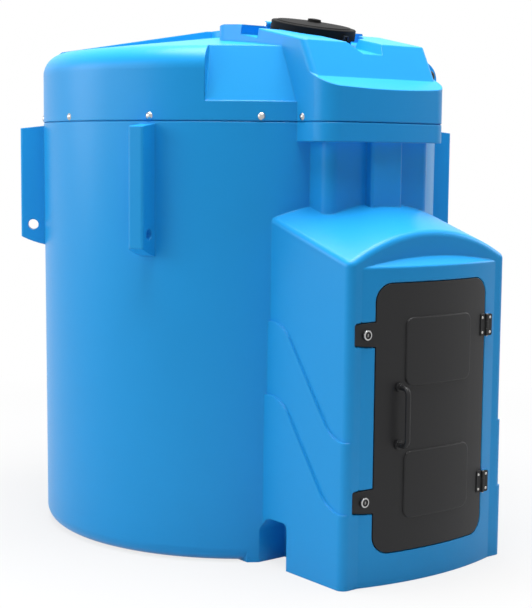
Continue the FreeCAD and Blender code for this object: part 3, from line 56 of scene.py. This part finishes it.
# Room
# A pale room round the tank. Its walls fill the shadows with a little cool light, and stand
# as plain white behind the tank and in what its steel and glass mirror.
wall_tint = (0.95, 0.98, 1, 1)
wall_light = 0.13
bpy.context.scene.view_settings.view_transform = "Standard"
room = bpy.data.worlds.new("pale_room")
bpy.context.scene.world = room
room.use_nodes = True
room_nodes = room.node_tree.nodes
room_links = room.node_tree.links
room_seen = room_nodes.new("ShaderNodeBackground")
room_seen.inputs["Color"].default_value = (1, 1, 1, 1)
room_seen.inputs["Strength"].default_value = 1.0
room_fill = room_nodes["Background"]
room_fill.inputs["Color"].default_value = wall_tint
room_fill.inputs["Strength"].default_value = wall_light
room_mix = room_nodes.new("ShaderNodeMixShader")


def white_rays(nodes, links, *kinds):
    path = nodes.new("ShaderNodeLightPath")
    share = path.outputs[kinds[0]]
    for kind in kinds[1:]:
        either = nodes.new("ShaderNodeMath")
        either.operation = "MAXIMUM"
        links.new(share, either.inputs[0])
        links.new(path.outputs[kind], either.inputs[1])
        share = either.outputs[0]
    return share


room_share = white_rays(room_nodes, room_links, "Is Camera Ray", "Is Glossy Ray",
                        "Is Transmission Ray")
room_links.new(room_share, room_mix.inputs["Fac"])
room_links.new(room_fill.outputs[0], room_mix.inputs[1])
room_links.new(room_seen.outputs[0], room_mix.inputs[2])
room_links.new(room_mix.outputs[0], room_nodes["World Output"].inputs["Surface"])

# Studio lamps
# A very broad lamp overhead gives the bright tops. Two soft ones from the left and the left
# rear shade the barrel, and a weak one at the right catches edges.
tank_middle = Vector((0, -0.2, 1.0))


def add_lamp(name, place, width, power):
    lamp_data = bpy.data.lights.new(name, "AREA")
    lamp_data.shape = "DISK"
    lamp_data.size = width
    lamp_data.energy = power
    lamp = bpy.data.objects.new(name, lamp_data)
    aim = (tank_middle - Vector(place)).to_track_quat("-Z", "Y")
    lamp.matrix_world = Matrix.Translation(place) @ aim.to_matrix().to_4x4()
    bpy.context.scene.collection.objects.link(lamp)


add_lamp("left_lamp", place=(-5.8, 0.8, 3.0), width=3.4, power=80)
add_lamp("rear_lamp", place=(-4.6, 3.6, 2.6), width=3.0, power=95)
add_lamp("top_lamp", place=(-0.2, -0.6, 6.4), width=5.0, power=760)
add_lamp("right_lamp", place=(5.0, -1.6, 3.0), width=1.6, power=40)

# Floor
# A pale matt floor that keeps the soft shadow of the tank. It turns to plain white with the
# distance from the tank, so it meets the room with no line.
floor_half_width = 30
floor_tone = (0.58, 0.58, 0.58, 1)
shadow_radius = 1.2
white_radius = 3.6
shadow_white_share = 0.78
floor_form = bmesh.new()
bmesh.ops.create_grid(floor_form, x_segments=1, y_segments=1, size=floor_half_width)
floor_mesh = bpy.data.meshes.new("floor")
floor_form.to_mesh(floor_mesh)
floor_form.free()
floor = bpy.data.objects.new("floor", floor_mesh)
bpy.context.scene.collection.objects.link(floor)
floor_finish = bpy.data.materials.new("pale_floor")
floor_finish.use_nodes = True
floor_nodes = floor_finish.node_tree.nodes
floor_links = floor_finish.node_tree.links
floor_paint = floor_nodes["Principled BSDF"]
floor_paint.inputs["Base Color"].default_value = floor_tone
floor_paint.inputs["Roughness"].default_value = 0.9
floor_paint.inputs["Specular IOR Level"].default_value = 0.0
floor_glow = floor_nodes.new("ShaderNodeEmission")
floor_glow.inputs["Strength"].default_value = 1.0
floor_spot = floor_nodes.new("ShaderNodeTexCoord")
floor_reach = floor_nodes.new("ShaderNodeVectorMath")
floor_reach.operation = "LENGTH"
floor_fade = floor_nodes.new("ShaderNodeMapRange")
floor_fade.inputs["From Min"].default_value = shadow_radius
floor_fade.inputs["From Max"].default_value = white_radius
floor_fade.inputs["To Min"].default_value = shadow_white_share
floor_fade.inputs["To Max"].default_value = 1.0
floor_share = floor_nodes.new("ShaderNodeMath")
floor_share.operation = "MULTIPLY"
floor_mix = floor_nodes.new("ShaderNodeMixShader")
floor_seen = white_rays(floor_nodes, floor_links, "Is Camera Ray", "Is Glossy Ray")
floor_links.new(floor_spot.outputs["Object"], floor_reach.inputs[0])
floor_links.new(floor_reach.outputs["Value"], floor_fade.inputs["Value"])
floor_links.new(floor_seen, floor_share.inputs[0])
floor_links.new(floor_fade.outputs[0], floor_share.inputs[1])
floor_links.new(floor_share.outputs[0], floor_mix.inputs["Fac"])
floor_links.new(floor_paint.outputs[0], floor_mix.inputs[1])
floor_links.new(floor_glow.outputs[0], floor_mix.inputs[2])
floor_links.new(floor_mix.outputs[0], floor_nodes["Material Output"].inputs["Surface"])
floor_mesh.materials.append(floor_finish)

# Bund and top cover
# Two rotationally moulded shells in blue polyethylene, bolted together at the rim. The skin is
# satin, with the fine ripple of the mould wall, a slow drift of tone where the wall cooled
# unevenly, and edges that the mould rounds.


def moulded_skin():
    group = bpy.data.node_groups.new("moulded_skin", "ShaderNodeTree")
    sockets = group.interface
    sockets.new_socket("Tone", in_out="INPUT", socket_type="NodeSocketColor")
    for name in ("Drift", "Grain Size", "Grain Height", "Gloss Low", "Gloss High"):
        sockets.new_socket(name, in_out="INPUT", socket_type="NodeSocketFloat")
    sockets.new_socket("Colour", in_out="OUTPUT", socket_type="NodeSocketColor")
    sockets.new_socket("Roughness", in_out="OUTPUT", socket_type="NodeSocketFloat")
    sockets.new_socket("Height", in_out="OUTPUT", socket_type="NodeSocketFloat")
    nodes = group.nodes
    links = group.links
    given = nodes.new("NodeGroupInput")
    out = nodes.new("NodeGroupOutput")
    place = nodes.new("ShaderNodeTexCoord")
    cloud = nodes.new("ShaderNodeTexNoise")
    cloud.inputs["Scale"].default_value = 2.6
    cloud.inputs["Detail"].default_value = 3
    links.new(place.outputs["Object"], cloud.inputs["Vector"])
    grain = nodes.new("ShaderNodeTexNoise")
    grain.inputs["Detail"].default_value = 4
    grain.inputs["Roughness"].default_value = 0.62
    links.new(place.outputs["Object"], grain.inputs["Vector"])
    links.new(given.outputs["Grain Size"], grain.inputs["Scale"])
    centred = nodes.new("ShaderNodeMath")
    centred.operation = "SUBTRACT"
    centred.inputs[1].default_value = 0.5
    links.new(cloud.outputs["Fac"], centred.inputs[0])
    drift = nodes.new("ShaderNodeMath")
    drift.operation = "MULTIPLY_ADD"
    drift.inputs[2].default_value = 1.0
    links.new(centred.outputs[0], drift.inputs[0])
    links.new(given.outputs["Drift"], drift.inputs[1])
    shade = nodes.new("ShaderNodeVectorMath")
    shade.operation = "SCALE"
    links.new(given.outputs["Tone"], shade.inputs[0])
    links.new(drift.outputs[0], shade.inputs["Scale"])
    links.new(shade.outputs[0], out.inputs["Colour"])
    gloss = nodes.new("ShaderNodeMapRange")
    gloss.inputs["From Min"].default_value = 0.3
    gloss.inputs["From Max"].default_value = 0.7
    links.new(grain.outputs["Fac"], gloss.inputs["Value"])
    links.new(given.outputs["Gloss Low"], gloss.inputs["To Min"])
    links.new(given.outputs["Gloss High"], gloss.inputs["To Max"])
    links.new(gloss.outputs[0], out.inputs["Roughness"])
    height = nodes.new("ShaderNodeMath")
    height.operation = "MULTIPLY"
    links.new(grain.outputs["Fac"], height.inputs[0])
    links.new(given.outputs["Grain Height"], height.inputs[1])
    links.new(height.outputs[0], out.inputs["Height"])
    return group


skin = moulded_skin()


def moulded_finish(name, tone, drift, grain_size, grain_height, gloss, specular=0.3,
                   soft_edge=0.0):
    finish = bpy.data.materials.new(name)
    finish.use_nodes = True
    nodes = finish.node_tree.nodes
    links = finish.node_tree.links
    body = nodes["Principled BSDF"]
    body.inputs["Specular IOR Level"].default_value = specular
    surface = nodes.new("ShaderNodeGroup")
    surface.node_tree = skin
    surface.inputs["Tone"].default_value = (*tone, 1)
    surface.inputs["Drift"].default_value = drift
    surface.inputs["Grain Size"].default_value = grain_size
    surface.inputs["Grain Height"].default_value = grain_height
    surface.inputs["Gloss Low"].default_value = gloss[0]
    surface.inputs["Gloss High"].default_value = gloss[1]
    relief = nodes.new("ShaderNodeBump")
    relief.inputs["Strength"].default_value = 1.0
    relief.inputs["Distance"].default_value = 1.0
    if soft_edge:
        rounded = nodes.new("ShaderNodeBevel")
        rounded.samples = 6
        rounded.inputs["Radius"].default_value = soft_edge
        links.new(rounded.outputs[0], relief.inputs["Normal"])
    links.new(surface.outputs["Colour"], body.inputs["Base Color"])
    links.new(surface.outputs["Roughness"], body.inputs["Roughness"])
    links.new(surface.outputs["Height"], relief.inputs["Height"])
    links.new(relief.outputs["Normal"], body.inputs["Normal"])
    return finish


def dress(finish, *names):
    for name in names:
        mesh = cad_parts[name].data
        mesh.materials.clear()
        mesh.materials.append(finish)


blue_skin = moulded_finish("blue_moulding", tone=(0.012, 0.315, 0.73), drift=0.07,
                           grain_size=260, grain_height=0.00010, gloss=(0.30, 0.40),
                           specular=0.22, soft_edge=0.007)
dress(blue_skin, "bund_body", "top_cover")

# Inner tank
# The tank that holds the fluid, moulded in natural polyethylene, milky and waxy. It stands
# inside the bund and shows only through the open hatch.
natural_skin = moulded_finish("natural_moulding", tone=(0.74, 0.75, 0.70), drift=0.08,
                              grain_size=180, grain_height=0.00015, gloss=(0.38, 0.5))
dress(natural_skin, "inner_tank")

# Door and other black mouldings
# The door, its handle and hinge leaves, the vent with its nut, the nozzle holster, the drip
# tray and the switch are charcoal plastic, with a finer and drier grain than the shells.
black_skin = moulded_finish("black_moulding", tone=(0.013, 0.013, 0.014), drift=0.16,
                            grain_size=520, grain_height=0.00010, gloss=(0.36, 0.48),
                            specular=0.30, soft_edge=0.004)
dress(black_skin, "cabinet_door", "door_handle", "side_vent", "vent_nut", "nozzle_holster",
      "drip_tray", "pump_switch", "hinge_frame_leaves", "hinge_door_leaves")

# Fill lid
# The round lid over the hatch, moulded in the same charcoal plastic and hinged at the back.
# Its skin is coarser and duller than the door's.
lid_skin = moulded_finish("lid_moulding", tone=(0.011, 0.011, 0.011), drift=0.2,
                          grain_size=420, grain_height=0.00012, gloss=(0.55, 0.66),
                          specular=0.05, soft_edge=0.002)
dress(lid_skin, "fill_lid")

# Pump head, meter, gauge and pipe collars
# Small housings and collars in dark glass-filled plastic, moulded with a very fine texture
# and screwed or clipped to the plate and the pipes. The lid's rubber seal is as dark.
polymer_skin = moulded_finish("pump_polymer", tone=(0.05, 0.05, 0.055), drift=0.12,
                              grain_size=700, grain_height=0.00006, gloss=(0.42, 0.55))
dress(polymer_skin, "pump_head", "flow_meter", "level_display", "level_probe",
      "suction_collar", "fill_collar", "riser_clips", "lid_seal")

# Control box
# A pale grey moulded enclosure for the switch and its lamp, with a fine spark-eroded texture.
# It is screwed to the equipment plate.
grey_skin = moulded_finish("control_grey", tone=(0.42, 0.43, 0.44), drift=0.06,
                           grain_size=800, grain_height=0.00005, gloss=(0.42, 0.52))
dress(grey_skin, "control_box")

# Valve lever, fill cap and reset button
# What the hand takes hold of is bright blue plastic. The lever is pinned to the valve's stem,
# the cap turns into the fill coupling, and the button slides in the meter.
bright_blue = moulded_finish("grip_blue", tone=(0.02, 0.16, 0.55), drift=0.05,
                             grain_size=300, grain_height=0.00003, gloss=(0.22, 0.3))
dress(bright_blue, "valve_lever", "fill_cap", "reset_button")

# Bolts, nuts, screws and pins
# Turned and pressed stainless fasteners, bright where the light catches them and slightly
# uneven in their gloss. They hold the cover, the hinges, the handle, the locks and the plate.


def brushed_surface():
    group = bpy.data.node_groups.new("brushed_surface", "ShaderNodeTree")
    sockets = group.interface
    sockets.new_socket("Stretch", in_out="INPUT", socket_type="NodeSocketVector")
    for name in ("Gloss Low", "Gloss High"):
        sockets.new_socket(name, in_out="INPUT", socket_type="NodeSocketFloat")
    for name in ("Roughness", "Height"):
        sockets.new_socket(name, in_out="OUTPUT", socket_type="NodeSocketFloat")
    nodes = group.nodes
    links = group.links
    given = nodes.new("NodeGroupInput")
    out = nodes.new("NodeGroupOutput")
    place = nodes.new("ShaderNodeTexCoord")
    turn = nodes.new("ShaderNodeMapping")
    lines = nodes.new("ShaderNodeTexNoise")
    lines.inputs["Scale"].default_value = 90
    lines.inputs["Detail"].default_value = 5
    gloss = nodes.new("ShaderNodeMapRange")
    links.new(place.outputs["Object"], turn.inputs["Vector"])
    links.new(given.outputs["Stretch"], turn.inputs["Scale"])
    links.new(turn.outputs[0], lines.inputs["Vector"])
    links.new(lines.outputs["Fac"], gloss.inputs["Value"])
    links.new(given.outputs["Gloss Low"], gloss.inputs["To Min"])
    links.new(given.outputs["Gloss High"], gloss.inputs["To Max"])
    links.new(gloss.outputs[0], out.inputs["Roughness"])
    links.new(lines.outputs["Fac"], out.inputs["Height"])
    return group


brushed = brushed_surface()
even_grain = (1, 1, 1)


def steel_finish(name, tone, gloss, stretch):
    finish = bpy.data.materials.new(name)
    finish.use_nodes = True
    nodes = finish.node_tree.nodes
    links = finish.node_tree.links
    body = nodes["Principled BSDF"]
    body.inputs["Metallic"].default_value = 1.0
    body.inputs["Base Color"].default_value = (*tone, 1)
    surface = nodes.new("ShaderNodeGroup")
    surface.node_tree = brushed
    surface.inputs["Stretch"].default_value = stretch
    surface.inputs["Gloss Low"].default_value = gloss[0]
    surface.inputs["Gloss High"].default_value = gloss[1]
    relief = nodes.new("ShaderNodeBump")
    relief.inputs["Distance"].default_value = 0.00006
    relief.inputs["Strength"].default_value = 1.0
    links.new(surface.outputs["Roughness"], body.inputs["Roughness"])
    links.new(surface.outputs["Height"], relief.inputs["Height"])
    links.new(relief.outputs["Normal"], body.inputs["Normal"])
    return finish


bright_tone = (0.48, 0.47, 0.45)
bright_gloss = (0.2, 0.38)
bright_steel = steel_finish("bright_steel", tone=bright_tone, gloss=bright_gloss,
                            stretch=even_grain)
dress(bright_steel, "cover_bolts", "cover_nuts", "hinge_pins", "hinge_frame_screws",
      "hinge_door_screws", "handle_screws", "lock_nuts", "plate_screws", "lid_hinge_pin")

# Staple and key plugs
# The staple that the lid's hasp closes over, and the plugs of the door locks with their cams,
# are steel with a dark oxide finish. The staple is screwed down, and the plugs turn.
dark_steel = steel_finish("dark_steel", tone=(0.05, 0.05, 0.052), gloss=(0.3, 0.45),
                          stretch=even_grain)
dress(dark_steel, "lid_staple", "upper_lock", "lower_lock")

# Door locks
# Two key locks through the tabs at the door's left edge. Each has a plated bezel round a dark
# dish, and a bright shutter that closes the keyway and turns with the plug.
lock_x = -0.297
lock_heights = {"lower": 0.293, "upper": 0.853}
dish_radius = 0.0122
dish_blend = 0.0003
dish_tone = 0.015
rim_tone = 0.48
shutter_size = (0.0024, 0.0012, 0.0100)
shutter_edge = 0.0004
shutter_depth = 0.0002
bezel_finish = steel_finish("plated_bezel", tone=bright_tone, gloss=bright_gloss,
                            stretch=even_grain)
bezel_nodes = bezel_finish.node_tree.nodes
bezel_links = bezel_finish.node_tree.links
bezel_place = bezel_nodes.new("ShaderNodeTexCoord")


def reach_from_lock(height):
    centred = bezel_nodes.new("ShaderNodeMapping")
    centred.inputs["Location"].default_value = (-lock_x, 0, -height)
    flat = bezel_nodes.new("ShaderNodeVectorMath")
    flat.operation = "MULTIPLY"
    flat.inputs[1].default_value = (1, 0, 1)
    reach = bezel_nodes.new("ShaderNodeVectorMath")
    reach.operation = "LENGTH"
    bezel_links.new(bezel_place.outputs["Object"], centred.inputs["Vector"])
    bezel_links.new(centred.outputs[0], flat.inputs[0])
    bezel_links.new(flat.outputs[0], reach.inputs[0])
    return reach.outputs["Value"]


nearest_lock = bezel_nodes.new("ShaderNodeMath")
nearest_lock.operation = "MINIMUM"
for side, height in enumerate(lock_heights.values()):
    bezel_links.new(reach_from_lock(height), nearest_lock.inputs[side])
bezel_tone = bezel_nodes.new("ShaderNodeMapRange")
bezel_tone.inputs["From Min"].default_value = dish_radius - dish_blend
bezel_tone.inputs["From Max"].default_value = dish_radius + dish_blend
bezel_tone.inputs["To Min"].default_value = dish_tone
bezel_tone.inputs["To Max"].default_value = rim_tone
bezel_links.new(nearest_lock.outputs[0], bezel_tone.inputs["Value"])
bezel_links.new(bezel_tone.outputs[0], bezel_nodes["Principled BSDF"].inputs["Base Color"])
dress(bezel_finish, "lock_bodies")

for side, height in lock_heights.items():
    plug_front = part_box(side + "_lock")[0][1]
    shutter_place = (lock_x, plug_front + shutter_depth, height)
    shutter_form = bmesh.new()
    bmesh.ops.create_cube(shutter_form, size=1)
    bmesh.ops.scale(shutter_form, vec=shutter_size, verts=shutter_form.verts)
    bmesh.ops.bevel(shutter_form, geom=shutter_form.edges[:], offset=shutter_edge, segments=2,
                    profile=0.5, affect="EDGES", material=-1)
    bmesh.ops.translate(shutter_form, vec=shutter_place, verts=shutter_form.verts)
    shutter_mesh = bpy.data.meshes.new(side + "_key_slot")
    shutter_form.to_mesh(shutter_mesh)
    shutter_form.free()
    shutter_mesh.materials.append(bright_steel)
    shutter = bpy.data.objects.new(side + "_key_slot", shutter_mesh)
    bpy.context.scene.collection.objects.link(shutter)
    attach(shutter, side + "_cam")

# Pipes
# Stainless tube and fittings for suction, delivery and filling, brushed along the upright
# runs and joined by compression fittings.
pipe_steel = steel_finish("pipe_steel", tone=(0.58, 0.59, 0.60), gloss=(0.22, 0.36),
                          stretch=(1, 1, 0.05))
dress(pipe_steel, "suction_pipe", "pump_inlet_pipe", "suction_valve", "delivery_pipe",
      "hose_tail", "fill_riser", "fill_coupling")

# Equipment plate and pump bracket
# Stainless sheet with brush lines from side to side. The plate is screwed to the back of the
# cabinet, and the bracket carries the pump on it.
sheet_steel = steel_finish("brushed_sheet", tone=(0.55, 0.56, 0.57), gloss=(0.25, 0.45),
                           stretch=(0.02, 1, 1))
dress(sheet_steel, "equipment_plate", "pump_bracket")

# Pump motor
# A finned casting in dark blue enamel, sprayed over the metal and slightly glossy. It is
# bolted to the bracket.
motor_paint = moulded_finish("motor_paint", tone=(0.03, 0.10, 0.26), drift=0.05,
                             grain_size=400, grain_height=0.00005, gloss=(0.3, 0.42))
dress(motor_paint, "pump_motor")

# Power lamp and panes
# The lamp's green lens and the clear panes over the meter and the gauge, smooth from the
# tool, pressed into their housings.
lamp_green = moulded_finish("lamp_green", tone=(0.04, 0.42, 0.10), drift=0.0,
                            grain_size=300, grain_height=0.0, gloss=(0.15, 0.2))
dress(lamp_green, "power_lamp")
pane = moulded_finish("display_pane", tone=(0.10, 0.13, 0.11), drift=0.0,
                      grain_size=300, grain_height=0.0, gloss=(0.08, 0.12))
dress(pane, "meter_window", "display_glass")
